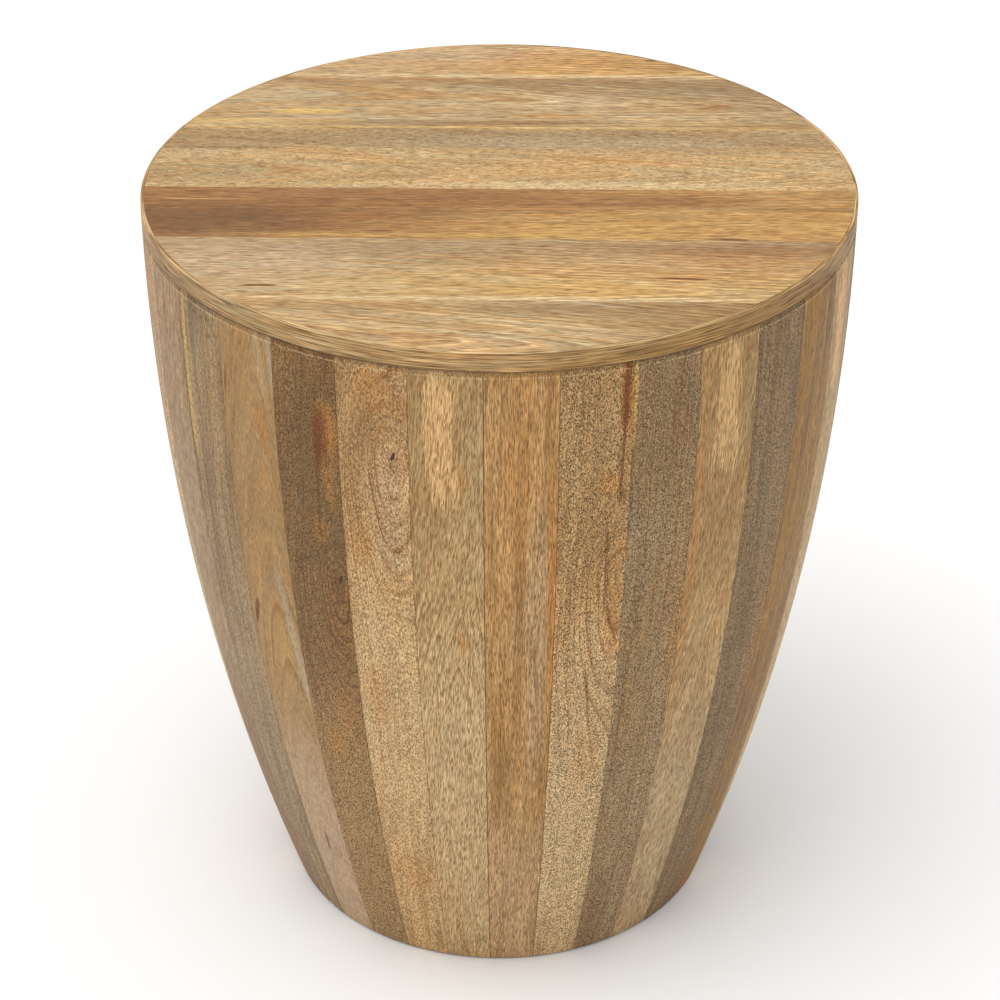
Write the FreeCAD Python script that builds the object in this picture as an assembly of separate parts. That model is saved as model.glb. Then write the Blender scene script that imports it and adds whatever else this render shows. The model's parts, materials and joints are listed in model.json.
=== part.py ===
import FreeCAD
import Part
import math
import os

# A round end table: a coopered drum of staves under a round top of edge-glued planks.
# The origin is the middle of the table on the floor, +Z is up, the planks run along X,
# and the front of the table is at -Y. Lengths are in millimetres and angles in degrees.
# Names that end in share or shares are parts of the size that they follow.

# The whole table
table_height = 510.0
top_diameter = 450.0
foot_diameter = 292.0

# The top: planks edge-glued side by side, with a thin strip bent round their edge
top_thickness = 13.0
plank_width_shares = (0.141, 0.180, 0.157, 0.205, 0.184, 0.133)
edge_band_thickness = 2.0

# The wall: staves glued edge to edge, flat inside and turned to one curve outside
stave_count = 32
first_joint_angle = -91.35
wall_at_top = 18.0
wall_at_foot = 20.0
wall_stretch_count = 5
shadow_groove_height = 3.2
shadow_groove_depth = 1.2

# The rings: mitred straight pieces glued inside the wall, with joints at mid stave
ring_piece_count = 8
ring_joint_turn_in_staves = 1.5
top_ring_width = 45.0
top_ring_thickness = 25.0
base_ring_width = 36.0
base_ring_thickness = 20.0

# The battens: glued across the planks, inside the top ring
batten_width = 30.0
batten_thickness = 18.0
batten_spacing = 150.0
batten_end_clearance = 4.0

# The wood screws: pan heads under the top ring, shanks up through its slots into the planks
screw_count = 4
screw_head_diameter = 9.0
screw_head_height = 3.0
screw_shank_diameter = 4.5
screw_bite_in_top = 9.0
slot_side_clearance = 0.4
slot_end_clearance = 1.8

# The pads: squares of felt stuck under the base ring, which sits higher than the wall's foot
pad_count = 4
pad_width = 20.0
pad_thickness = 3.0
wall_floor_clearance = 1.0

# Worked out from the sizes above
top_radius = top_diameter / 2
foot_radius = foot_diameter / 2
plank_disc_radius = top_radius - edge_band_thickness
wall_top_height = table_height - top_thickness
top_ring_underside = wall_top_height - top_ring_thickness
stave_angle = 360.0 / stave_count
ring_piece_angle = 360.0 / ring_piece_count
first_ring_joint_angle = first_joint_angle + ring_joint_turn_in_staves * stave_angle

# The outside of the wall is an arc that leaves the top straight down
wall_fall = wall_top_height - wall_floor_clearance
wall_taper = top_radius - foot_radius
wall_arc_radius = (wall_fall ** 2 + wall_taper ** 2) / (2 * wall_taper)
wall_arc_centre = top_radius - wall_arc_radius

# The hollow is measured to the flat inner faces of the staves
hollow_radius_at_top = top_radius - wall_at_top
hollow_radius_at_foot = foot_radius - wall_at_foot
top_ring_inner_radius = hollow_radius_at_top - top_ring_width
base_ring_inner_radius = hollow_radius_at_foot - base_ring_width

up = FreeCAD.Vector(0, 0, 1)
middle = FreeCAD.Vector(0, 0, 0)


def point(radius, angle, height):
    """A point at this distance from the axis, this far round it and this high."""
    turn = math.radians(angle)
    return FreeCAD.Vector(radius * math.cos(turn), radius * math.sin(turn), height)


def on_wall(height):
    """The point of the wall's outside curve at this height, before it is turned."""
    below_top = wall_top_height - height
    radius = wall_arc_centre + math.sqrt(wall_arc_radius ** 2 - below_top ** 2)
    return FreeCAD.Vector(radius, 0, height)


def flat_face(corners):
    """A flat face with straight edges through the corners."""
    return Part.Face(Part.makePolygon(corners + corners[:1]))


def turned(corners):
    """A solid turned about the axis from straight lines through (radius, height) corners."""
    outline = [FreeCAD.Vector(radius, 0, height) for radius, height in corners]
    return flat_face(outline).revolve(middle, up, 360.0)


def regular_corners(side_count, flat_radius, first_angle, height):
    """The corners of a regular polygon whose flats lie this far from the axis."""
    half_side_angle = 180.0 / side_count
    corner_radius = flat_radius / math.cos(math.radians(half_side_angle))
    angles = [first_angle + 2 * half_side_angle * k for k in range(side_count)]
    return [point(corner_radius, angle, height) for angle in angles]


def make_hollow():
    """The space inside the wall, with one flat side for each stave."""
    foot = regular_corners(stave_count, hollow_radius_at_foot, first_joint_angle, wall_floor_clearance)
    top = regular_corners(stave_count, hollow_radius_at_top, first_joint_angle, wall_top_height)
    faces = [flat_face(foot), flat_face(top)]
    for number in range(stave_count):
        following = (number + 1) % stave_count
        faces.append(flat_face([foot[number], foot[following], top[following], top[number]]))
    return Part.Solid(Part.Shell(faces))


def wall_curve(low, high):
    """The wall's outside from one height to the other, as equal stretches of its arc."""
    rise = (high - low) / wall_stretch_count
    stretches = []
    for number in range(wall_stretch_count):
        start = low + number * rise
        arc = Part.Arc(on_wall(start), on_wall(start + rise / 2), on_wall(start + rise))
        stretches.append(arc.toShape())
    return stretches


def make_stave(number, hollow):
    """One stave: radial joint faces, curved outside, flat inside, with a bevel at its top."""
    groove_start = wall_top_height - shadow_groove_height
    curve = wall_curve(wall_floor_clearance, groove_start)
    under_band = FreeCAD.Vector(top_radius - shadow_groove_depth, 0, wall_top_height)
    axis_top = FreeCAD.Vector(0, 0, wall_top_height)
    axis_foot = FreeCAD.Vector(0, 0, wall_floor_clearance)
    inside = [on_wall(groove_start), under_band, axis_top, axis_foot, on_wall(wall_floor_clearance)]
    outline = Part.Wire(curve + Part.makePolygon(inside).Edges)
    wedge = Part.Face(outline).revolve(middle, up, stave_angle)
    wedge.rotate(middle, up, first_joint_angle + number * stave_angle)
    return wedge.cut(hollow)


def make_edge_band():
    """The strip round the planks."""
    outline = [
        (plank_disc_radius, wall_top_height),
        (top_radius, wall_top_height),
        (top_radius, table_height),
        (plank_disc_radius, table_height),
    ]
    return turned(outline)


def plank_joints():
    """The places along Y of the planks' long edges, front to back."""
    joints = [-plank_disc_radius]
    reach = -top_radius
    for width_share in plank_width_shares[:-1]:
        reach += width_share * top_diameter
        joints.append(reach)
    joints.append(plank_disc_radius)
    return joints


def make_plank(front, back):
    """One plank of the top, cut to the round."""
    disc = Part.makeCylinder(
        plank_disc_radius, top_thickness, FreeCAD.Vector(0, 0, wall_top_height), up
    )
    corner = FreeCAD.Vector(-plank_disc_radius, front, wall_top_height)
    board = Part.makeBox(2 * plank_disc_radius, back - front, top_thickness, corner)
    return disc.common(board)


def make_ring_piece(number, hollow, inner_radius, low, thickness):
    """One mitred piece of a ring: straight inside, and fitted to the staves outside."""
    start = first_ring_joint_angle + number * ring_piece_angle
    end = start + ring_piece_angle
    inner_corner_radius = inner_radius / math.cos(math.radians(ring_piece_angle / 2))
    past_wall = top_diameter
    corners = [
        point(inner_corner_radius, start, low),
        point(past_wall, start, low),
        point(past_wall, end, low),
        point(inner_corner_radius, end, low),
    ]
    return flat_face(corners).extrude(up * thickness).common(hollow)


def ring_middles(count):
    """The angles of the middles of this many ring pieces, spread round the ring."""
    pieces_apart = ring_piece_count / count
    numbers = [round(number * pieces_apart) for number in range(count)]
    return [first_ring_joint_angle + (number + 0.5) * ring_piece_angle for number in numbers]


def make_batten(centre_x):
    """One batten under the planks, short enough for its corners to clear the top ring."""
    clear_radius = top_ring_inner_radius - batten_end_clearance
    outer_side = batten_spacing / 2 + batten_width / 2
    half_length = math.sqrt(clear_radius ** 2 - outer_side ** 2)
    corner = FreeCAD.Vector(
        centre_x - batten_width / 2, -half_length, wall_top_height - batten_thickness
    )
    return Part.makeBox(batten_width, 2 * half_length, batten_thickness, corner)


def screw_places():
    """Where the screws stand: the middles of pieces of the top ring."""
    radius = top_ring_inner_radius + top_ring_width / 2
    return [point(radius, angle, top_ring_underside) for angle in ring_middles(screw_count)]


def make_screw(place):
    """A pan-head wood screw that points up, with its head under this place."""
    head_radius = screw_head_diameter / 2
    shank_radius = screw_shank_diameter / 2
    shank_length = top_ring_thickness + screw_bite_in_top
    outline = [
        (0, -screw_head_height),
        (head_radius, -screw_head_height),
        (head_radius, 0),
        (shank_radius, 0),
        (shank_radius, shank_length),
        (0, shank_length),
    ]
    screw = turned(outline)
    screw.translate(place)
    return screw


def make_slot(place):
    """The slot for a screw's shank, longer across the planks so that they can swell."""
    width = screw_shank_diameter + 2 * slot_side_clearance
    length = screw_shank_diameter + 2 * slot_end_clearance
    corner = place - FreeCAD.Vector(width / 2, length / 2, 0)
    return Part.makeBox(width, length, top_ring_thickness, corner)


def make_pads():
    """Square pads on the floor, under the middles of pieces of the base ring."""
    inner_side = base_ring_inner_radius + (base_ring_width - pad_width) / 2
    pads = []
    for angle in ring_middles(pad_count):
        corner = FreeCAD.Vector(inner_side, -pad_width / 2, 0)
        pad = Part.makeBox(pad_width, pad_width, pad_thickness, corner)
        pad.rotate(middle, up, angle)
        pads.append(pad)
    return pads


def cut_by(wood, cutters):
    """The wood less each of the cutters that enters it."""
    for cutter in cutters:
        if wood.BoundBox.intersect(cutter.BoundBox):
            wood = wood.cut(cutter)
    return wood


def build():
    """All the pieces of the table, by name."""
    hollow = make_hollow()
    joints = plank_joints()
    screws = [make_screw(place) for place in screw_places()]
    slots = [make_slot(place) for place in screw_places()]

    pieces = {}
    for number in range(stave_count):
        pieces[f"stave_{number + 1:02d}"] = make_stave(number, hollow)
    for number in range(len(plank_width_shares)):
        plank = make_plank(joints[number], joints[number + 1])
        pieces[f"top_plank_{number + 1}"] = cut_by(plank, screws)
    pieces["top_edge_band"] = make_edge_band()
    for number in range(ring_piece_count):
        top_piece = make_ring_piece(
            number, hollow, top_ring_inner_radius, top_ring_underside, top_ring_thickness
        )
        pieces[f"top_ring_{number + 1}"] = cut_by(top_piece, slots)
        pieces[f"base_ring_{number + 1}"] = make_ring_piece(
            number, hollow, base_ring_inner_radius, pad_thickness, base_ring_thickness
        )
    pieces["top_batten_left"] = make_batten(-batten_spacing / 2)
    pieces["top_batten_right"] = make_batten(batten_spacing / 2)
    pieces["ring_screws"] = Part.makeCompound(screws)
    pieces["floor_pads"] = Part.makeCompound(make_pads())
    return pieces


os.makedirs("parts", exist_ok=True)
for name, shape in build().items():
    shape.exportStep(f"parts/{name}.step")
    print(name, "solids", len(shape.Solids), "volume cm3", round(shape.Volume / 1000.0, 1))
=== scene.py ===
import bpy
import json
import math
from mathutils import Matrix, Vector

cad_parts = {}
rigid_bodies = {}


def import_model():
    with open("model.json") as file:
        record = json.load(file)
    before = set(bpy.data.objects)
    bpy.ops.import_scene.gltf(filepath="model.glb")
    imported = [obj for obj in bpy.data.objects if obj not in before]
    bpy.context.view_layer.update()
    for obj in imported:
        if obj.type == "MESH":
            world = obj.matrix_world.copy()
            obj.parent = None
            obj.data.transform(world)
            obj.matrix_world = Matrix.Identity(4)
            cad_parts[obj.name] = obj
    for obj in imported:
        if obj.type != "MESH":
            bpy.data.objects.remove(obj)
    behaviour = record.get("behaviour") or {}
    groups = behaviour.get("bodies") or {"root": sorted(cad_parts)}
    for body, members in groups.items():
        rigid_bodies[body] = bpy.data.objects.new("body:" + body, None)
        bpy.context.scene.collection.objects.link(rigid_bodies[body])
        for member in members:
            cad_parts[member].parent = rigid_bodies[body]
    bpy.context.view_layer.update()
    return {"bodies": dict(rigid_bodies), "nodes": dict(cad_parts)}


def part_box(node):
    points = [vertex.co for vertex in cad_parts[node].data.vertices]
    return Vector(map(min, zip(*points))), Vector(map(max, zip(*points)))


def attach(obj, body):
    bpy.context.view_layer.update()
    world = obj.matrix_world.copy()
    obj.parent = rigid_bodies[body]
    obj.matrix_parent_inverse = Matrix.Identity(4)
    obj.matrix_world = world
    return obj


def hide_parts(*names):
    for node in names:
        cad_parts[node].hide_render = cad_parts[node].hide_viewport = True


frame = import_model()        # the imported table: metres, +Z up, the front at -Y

body = sorted(frame["bodies"])[0]
nodes = frame["nodes"]
millimetre = 0.001
perMetre = 1000          # the looks below are in millimetres
snug = 0.02 * millimetre              # places this near count as the same
loose = 0.1 * millimetre
mergeDistance = 0.002 * millimetre
solidMergeDistance = 0.005 * millimetre
levelNormal = 0.9                     # a face lies level where its normal's z is past this


# Sizes that every piece follows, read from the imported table

def pointsOf(node):
    return [point.co.copy() for point in nodes[node].data.vertices]


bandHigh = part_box("top_edge_band")[1]
staveLow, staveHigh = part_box("stave_01")
staveTop = [p for p in pointsOf("stave_01") if p.z > staveHigh.z - snug]
staveFoot = [p for p in pointsOf("stave_01") if p.z < staveLow.z + snug]
footRadius = max(p.xy.length for p in staveFoot)
outerFoot = [p for p in staveFoot if p.xy.length > footRadius - millimetre]

table = {
    "topRadius": bandHigh.x,
    "height": bandHigh.z,
    "wallTop": staveHigh.z,
    "wallFoot": staveLow.z,
    "footRadius": footRadius,
    "underBandRadius": max(p.xy.length for p in staveTop),
    "hollowTopCorner": min(p.xy.length for p in staveTop),
    "hollowFootCorner": min(p.xy.length for p in staveFoot),
    "plankRadius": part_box("top_plank_3")[1].x,
    "staveCount": len([name for name in nodes if name.startswith("stave_")]),
    "firstJoint": min(math.degrees(math.atan2(p.y, p.x)) for p in outerFoot),
}
table["staveAngle"] = 360.0 / table["staveCount"]
halfStave = math.radians(table["staveAngle"] / 2)
wallFall = table["wallTop"] - table["wallFoot"]
wallTaper = table["topRadius"] - table["footRadius"]
arcRadius = (wallFall ** 2 + wallTaper ** 2) / (2 * wallTaper)


def wallRadiusAt(height):
    # the outside of the wall is one arc that leaves the top straight down
    drop = table["wallTop"] - height
    return table["topRadius"] - arcRadius + math.sqrt(arcRadius ** 2 - drop ** 2)


def near(value, target, slack=snug):
    return abs(value - target) < slack


def bothNear(a, b, height):
    return near(a.z, height) and near(b.z, height)


print("sizes read: top", round(table["topRadius"] * 2, 4), "m across,", table["staveCount"], "staves")


# Small steps that every piece is modelled with

def editMode():
    bpy.ops.object.mode_set(mode="EDIT")


def objectMode():
    bpy.ops.object.mode_set(mode="OBJECT")


def clearSelection():
    bpy.ops.object.select_all(action="DESELECT")


def takeUp(piece):
    clearSelection()
    piece.select_set(True)
    bpy.context.view_layer.objects.active = piece


def editAll():
    editMode()
    bpy.ops.mesh.select_all(action="SELECT")


def pick(piece, kind, parts, wanted):
    # selects the wanted points, edges or faces, and stays in edit mode
    editMode()
    bpy.ops.mesh.select_mode(type=kind)
    bpy.ops.mesh.select_all(action="DESELECT")
    objectMode()
    for part in getattr(piece.data, parts):
        part.select = wanted(part)
    editMode()


def pickPoints(piece, wanted):
    pick(piece, "VERT", "vertices", lambda point: wanted(point.co))


def pickEdges(piece, wanted):
    points = piece.data.vertices
    pick(piece, "EDGE", "edges", lambda edge: wanted(*(points[end].co for end in edge.vertices)))


def pickFaces(piece, wanted):
    pick(piece, "FACE", "polygons", lambda face: wanted(face.normal))


def bevelEdges(piece, wanted, width, segments):
    pickEdges(piece, wanted)
    bpy.ops.mesh.bevel(offset=width, segments=segments, affect="EDGES")
    objectMode()


def placeInMesh(piece):
    # the object ends at the origin, with its place in its mesh
    takeUp(piece)
    bpy.ops.object.transform_apply(location=True, rotation=True, scale=True)


def closeAndSmooth(piece, angle=30.0):
    # merges doubles, turns the faces outwards and smooths all but the sharp edges
    takeUp(piece)
    editAll()
    bpy.ops.mesh.remove_doubles(threshold=mergeDistance)
    bpy.ops.mesh.normals_make_consistent(inside=False)
    objectMode()
    bpy.ops.object.shade_smooth_by_angle(angle=math.radians(angle))


def addRod(name, radius, low, high, roundness, x=0.0, y=0.0):
    # an upright cylinder between two heights
    clearSelection()
    bpy.ops.mesh.primitive_cylinder_add(
        vertices=roundness, radius=radius, depth=high - low, location=(x, y, (low + high) / 2)
    )
    rod = bpy.context.object
    rod.name = name
    placeInMesh(rod)
    return rod


def mergedCopy(node, name):
    # a copy of a node's solid, with its own merged mesh
    piece = nodes[node].copy()
    piece.data = nodes[node].data.copy()
    for key in [key for key in piece.keys() if key.startswith("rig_")]:
        del piece[key]
    piece.parent = None
    bpy.context.collection.objects.link(piece)
    piece.name = name
    piece.data.materials.clear()
    placeInMesh(piece)
    editAll()
    bpy.ops.mesh.remove_doubles(threshold=solidMergeDistance)
    bpy.ops.mesh.dissolve_limited(angle_limit=math.radians(1))
    objectMode()
    return piece


def easeAllEdges(piece, width, segments):
    eased = piece.modifiers.new("eased edges", "BEVEL")
    eased.width = width
    eased.segments = segments
    eased.limit_method = "ANGLE"
    bpy.ops.object.modifier_apply(modifier=eased.name)


def standIn(piece, node):
    # the finished piece takes the place of its node
    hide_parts(node)
    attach(piece, body)


def dress(piece, material):
    piece.data.materials.clear()
    piece.data.materials.append(material)


# The staves of the wall

staveSizes = {
    "rows": 22,
    "columns": 8,
    "grooveHeight": 3.2 * millimetre,
    "grooveArris": (0.25 * millimetre, 2),    # an arris is its width and how many faces it has
    "jointArris": (0.16 * millimetre, 1),
    "footArris": (1.2 * millimetre, 3),
    "outerSkin": 2 * millimetre,          # the joints are eased only this near the outside
    "jointSlack": 0.0002,                 # radians within which an edge counts as on the joint
    "footReach": 0.4 * millimetre,        # takes in the foot's corners, which the joints' arris cut
}


def hollowCornerAt(height):
    share = (height - table["wallFoot"]) / wallFall
    return table["hollowFootCorner"] + share * (table["hollowTopCorner"] - table["hollowFootCorner"])


def buildStaveModel():
    # one stave that faces +X: a profile in the XZ plane, spun about the table's axis
    grooveStart = table["wallTop"] - staveSizes["grooveHeight"]
    inside = table["hollowFootCorner"]
    outside = table["topRadius"]
    clearSelection()
    bpy.ops.mesh.primitive_plane_add(size=1, rotation=(math.pi / 2, 0, 0))
    stave = bpy.context.object
    stave.name = "staveModel"
    stave.scale = (outside - inside, wallFall, 1)
    stave.location = ((inside + outside) / 2, 0, (table["wallTop"] + table["wallFoot"]) / 2)
    placeInMesh(stave)

    # rows up the profile, with one more where the shadow groove starts
    pickEdges(stave, lambda a, b: abs(a.z - b.z) > wallFall / 2)
    bpy.ops.mesh.subdivide(number_cuts=staveSizes["rows"] - 1)
    bpy.ops.mesh.select_all(action="SELECT")
    bpy.ops.mesh.bisect(plane_co=(0, 0, grooveStart), plane_no=(0, 0, 1))
    objectMode()
    levels = sorted({round(point.co.z, 6) for point in stave.data.vertices})
    for level in levels:
        outer = table["underBandRadius"] if near(level, table["wallTop"]) else wallRadiusAt(level)
        pickPoints(stave, lambda co: near(co.z, level) and co.x > (inside + outside) / 2)
        bpy.ops.transform.translate(value=(outer - outside, 0, 0))
        pickPoints(stave, lambda co: near(co.z, level) and near(co.x, inside, loose))
        bpy.ops.transform.translate(value=(hollowCornerAt(level) - inside, 0, 0))

    # round the axis, then centred on +X
    bpy.ops.mesh.select_all(action="SELECT")
    bpy.ops.mesh.spin(steps=staveSizes["columns"], angle=2 * halfStave, center=(0, 0, 0), axis=(0, 0, 1))
    objectMode()
    farSide = min(math.atan2(point.co.y, point.co.x) for point in stave.data.vertices)
    stave.rotation_euler = (0, 0, -halfStave - farSide)
    placeInMesh(stave)

    # the inner face is flat
    for level in levels:
        corner = hollowCornerAt(level)
        pickPoints(stave, lambda co: near(co.z, level) and near(co.xy.length, corner))
        flat = corner * math.cos(halfStave)
        bpy.ops.transform.resize(value=(0, 1, 1), center_override=(flat, 0, level))
    objectMode()
    closeAndSmooth(stave)

    # arrises: hairline ones along the joints, a light one at the groove, a wider one at the foot
    def onJoint(co):
        onSide = near(abs(math.atan2(co.y, co.x)), halfStave, staveSizes["jointSlack"])
        return onSide and co.xy.length > wallRadiusAt(co.z) - staveSizes["outerSkin"]

    def onRim(a, b, height, reach):
        return bothNear(a, b, height) and min(a.xy.length, b.xy.length) > wallRadiusAt(height) - reach

    bevelEdges(
        stave, lambda a, b: onJoint(a) and onJoint(b) and abs(a.z - b.z) > millimetre,
        *staveSizes["jointArris"],
    )
    bevelEdges(stave, lambda a, b: onRim(a, b, grooveStart, loose), *staveSizes["grooveArris"])
    bevelEdges(
        stave, lambda a, b: onRim(a, b, table["wallFoot"], staveSizes["footReach"]),
        *staveSizes["footArris"],
    )
    closeAndSmooth(stave)
    return stave


def staveMiddle(number):
    return table["firstJoint"] + (number - 0.5) * table["staveAngle"]


def buildStaves():
    model = buildStaveModel()
    staves = {}
    for number in range(1, table["staveCount"] + 1):
        node = f"stave_{number:02d}"
        piece = model.copy()
        piece.data = model.data.copy()
        bpy.context.collection.objects.link(piece)
        piece.name = piece.data.name = f"turned_{node}"
        piece.rotation_euler = (0, 0, math.radians(staveMiddle(number)))
        placeInMesh(piece)
        standIn(piece, node)
        staves[node] = piece
    bpy.data.objects.remove(model)
    print("staves modelled:", len(staves), "with", len(staves["stave_01"].data.polygons), "faces each")
    return staves


# The planks of the top

plankSizes = {"roundness": 480, "arris": (0.1 * millimetre, 1)}


def buildPlanks():
    planks = {}
    for node in sorted(name for name in nodes if name.startswith("top_plank_")):
        low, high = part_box(node)
        plank = addRod(
            node.replace("top_", "planed_"), table["plankRadius"], table["wallTop"], table["height"],
            plankSizes["roundness"],
        )
        for cut, side in ((low.y, 1), (high.y, -1)):
            if abs(cut) < table["plankRadius"] - millimetre:
                editAll()
                bpy.ops.mesh.bisect(
                    plane_co=(0, cut, 0), plane_no=(0, side, 0), use_fill=True, clear_inner=True
                )
                objectMode()
        bevelEdges(plank, lambda a, b: bothNear(a, b, table["height"]), *plankSizes["arris"])
        closeAndSmooth(plank)
        standIn(plank, node)
        planks[node] = plank
    print("planks modelled:", len(planks))
    return planks


# The strip round the edge of the top

bandSizes = {
    "roundness": 480,
    "topArris": (0.9 * millimetre, 4),
    "lowArris": (0.3 * millimetre, 2),
    "innerArris": (0.1 * millimetre, 1),
}


def buildEdgeBand():
    band = addRod(
        "bent_edge_band", table["topRadius"], table["wallTop"], table["height"], bandSizes["roundness"]
    )
    pickFaces(band, lambda normal: abs(normal.z) > levelNormal)
    bpy.ops.mesh.inset(thickness=table["topRadius"] - table["plankRadius"], depth=0)
    bpy.ops.mesh.delete(type="ONLY_FACE")

    def inside(a, b):
        return max(a.xy.length, b.xy.length) < table["plankRadius"] + 2 * loose

    def outside(a, b):
        return min(a.xy.length, b.xy.length) > table["topRadius"] - loose

    pickEdges(band, lambda a, b: inside(a, b) and near(a.z, b.z))
    bpy.ops.mesh.bridge_edge_loops()
    objectMode()
    closeAndSmooth(band)
    for height, side, arris in (
        (table["height"], outside, "topArris"),
        (table["wallTop"], outside, "lowArris"),
        (table["height"], inside, "innerArris"),
    ):
        bevelEdges(band, lambda a, b: bothNear(a, b, height) and side(a, b), *bandSizes[arris])
    closeAndSmooth(band)
    standIn(band, "top_edge_band")
    print("edge band modelled:", len(band.data.polygons), "faces")
    return band


# The rings and battens inside, with their edges eased, and the felt pads under the base ring

innerSizes = {"arris": (0.5 * millimetre, 2)}
padSizes = {"arris": (0.7 * millimetre, 3), "smoothUpTo": 60.0}


def buildInnerPieces():
    pieces = {}
    wanted = ("top_ring_", "base_ring_", "top_batten_")
    for node in sorted(name for name in nodes if name.startswith(wanted)):
        piece = mergedCopy(node, "sawn_" + node)
        easeAllEdges(piece, *innerSizes["arris"])
        closeAndSmooth(piece)
        standIn(piece, node)
        pieces[node] = piece
    print("inner pieces modelled:", len(pieces))
    return pieces


def buildPads():
    pads = mergedCopy("floor_pads", "felt_pads")
    easeAllEdges(pads, *padSizes["arris"])
    closeAndSmooth(pads, padSizes["smoothUpTo"])
    standIn(pads, "floor_pads")
    print("pads modelled")
    return pads


# The screws under the top ring: a pan head with a cross recess, and a plain shank

screwSizes = {
    "roundness": 48,
    "crownArris": (1.3 * millimetre, 5),
    "crossLength": 4.6 * millimetre,
    "crossWidth": 1.1 * millimetre,
    "crossDepth": 1.8 * millimetre,
    "crossTurn": 0.4,                     # radians
}


def cutCross(screw, place):
    for turn in (screwSizes["crossTurn"], screwSizes["crossTurn"] + math.pi / 2):
        clearSelection()
        bpy.ops.mesh.primitive_cube_add(size=1, location=place)
        cutter = bpy.context.object
        cutter.scale = (screwSizes["crossLength"], screwSizes["crossWidth"], 2 * screwSizes["crossDepth"])
        cutter.rotation_euler = (0, 0, turn)
        placeInMesh(cutter)
        takeUp(screw)
        recess = screw.modifiers.new("cross recess", "BOOLEAN")
        recess.object = cutter
        recess.operation = "DIFFERENCE"
        bpy.ops.object.modifier_apply(modifier=recess.name)
        bpy.data.objects.remove(cutter)


def buildScrews():
    points = pointsOf("ring_screws")
    headTop = sorted({round(p.z, 5) for p in points})[1]
    screws = []
    for sideX, sideY in ((1, -1), (1, 1), (-1, 1), (-1, -1)):
        # one screw stands in each quarter of the table
        group = [p for p in points if p.x * sideX > 0 and p.y * sideY > 0]
        low, high = (Vector([side(p[k] for p in group) for k in range(3)]) for side in (min, max))
        centre = (low + high) / 2
        headRadius = (high.x - low.x) / 2
        shankRings = [(p.xy - centre.xy).length for p in group if p.z > headTop + millimetre]
        shankRadius = min(radius for radius in shankRings if radius > millimetre)
        screw = addRod("screw", headRadius, low.z, headTop, screwSizes["roundness"], centre.x, centre.y)
        pickFaces(screw, lambda normal: normal.z > levelNormal)
        bpy.ops.mesh.inset(thickness=headRadius - shankRadius, depth=0)
        bpy.ops.mesh.extrude_region_move(TRANSFORM_OT_translate={"value": (0, 0, high.z - headTop)})
        bevelEdges(screw, lambda a, b: bothNear(a, b, low.z), *screwSizes["crownArris"])
        cutCross(screw, (centre.x, centre.y, low.z))
        screws.append(screw)
    clearSelection()
    for screw in screws:
        screw.select_set(True)
    bpy.context.view_layer.objects.active = screws[0]
    bpy.ops.object.join()
    piece = bpy.context.object
    piece.name = piece.data.name = "pan_head_screws"
    closeAndSmooth(piece)
    standIn(piece, "ring_screws")
    print("screws modelled:", len(screws))
    return piece


# Small steps that every material is built from

def feed(tree, socket, value):
    # links a socket, or sets a plain value
    if isinstance(value, bpy.types.NodeSocket):
        tree.links.new(value, socket)
    else:
        socket.default_value = value


def addNode(tree, kind, *values, **settings):
    # adds a node with its settings, and feeds its sockets in their order
    node = tree.nodes.new("ShaderNode" + kind)
    for setting, value in settings.items():
        setattr(node, setting, value)
    for socket, value in zip(node.inputs, values):
        feed(tree, socket, value)
    return node


def mathStep(operation, kind="Math"):
    def step(tree, *values):
        return addNode(tree, kind, *values, operation=operation).outputs[0]
    return step


plus = mathStep("ADD")
minus = mathStep("SUBTRACT")
times = mathStep("MULTIPLY")
over = mathStep("DIVIDE")
timesPlus = mathStep("MULTIPLY_ADD")       # first times second, plus third
power = mathStep("POWER")
root = mathStep("SQRT")
absolute = mathStep("ABSOLUTE")
larger = mathStep("MAXIMUM")
smaller = mathStep("MINIMUM")
move = mathStep("ADD", "VectorMath")
stretch = mathStep("MULTIPLY", "VectorMath")


def oneMinus(tree, value):
    # what is left of 1
    return minus(tree, 1.0, value)


def split(tree, vector):
    return addNode(tree, "SeparateXYZ", vector).outputs


def combine(tree, x, y, z):
    return addNode(tree, "CombineXYZ", x, y, z).outputs[0]


def distance(tree, x, y):
    return root(tree, plus(tree, power(tree, x, 2.0), power(tree, y, 2.0)))


def blend(tree, factor, first, second, mode="MIX"):
    # a mix node's colours are its inputs 6 and 7 and its output 2
    node = addNode(tree, "Mix", factor, data_type="RGBA", blend_type=mode)
    feed(tree, node.inputs[6], first)
    feed(tree, node.inputs[7], second)
    return node.outputs[2]


def ramp(tree, value, low, high):
    # a soft step from 0 at low to 1 at high
    return addNode(tree, "MapRange", value, low, high, interpolation_type="SMOOTHSTEP").outputs[0]


def noise(tree, vector, perUnit, detail=2.0, roughness=0.5):
    # noise with this many patches per unit across, in depth and along
    node = addNode(tree, "TexNoise", stretch(tree, vector, perUnit))
    node.inputs["Scale"].default_value = 1.0
    node.inputs["Detail"].default_value = detail
    node.inputs["Roughness"].default_value = roughness
    return node.outputs[0]


def inMillimetres(tree, turn=0.0):
    # the piece's own coordinates, turned about the table's axis
    node = addNode(tree, "Mapping", tree.nodes.new("ShaderNodeTexCoord").outputs["Object"])
    node.inputs["Rotation"].default_value = (0, 0, turn)
    node.inputs["Scale"].default_value = (perMetre, perMetre, perMetre)
    return split(tree, node.outputs[0])


arrow = (0.0, 0.0, 0.0)
socketKinds = {1: "NodeSocketFloat", 3: "NodeSocketVector", 4: "NodeSocketColor"}


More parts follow.
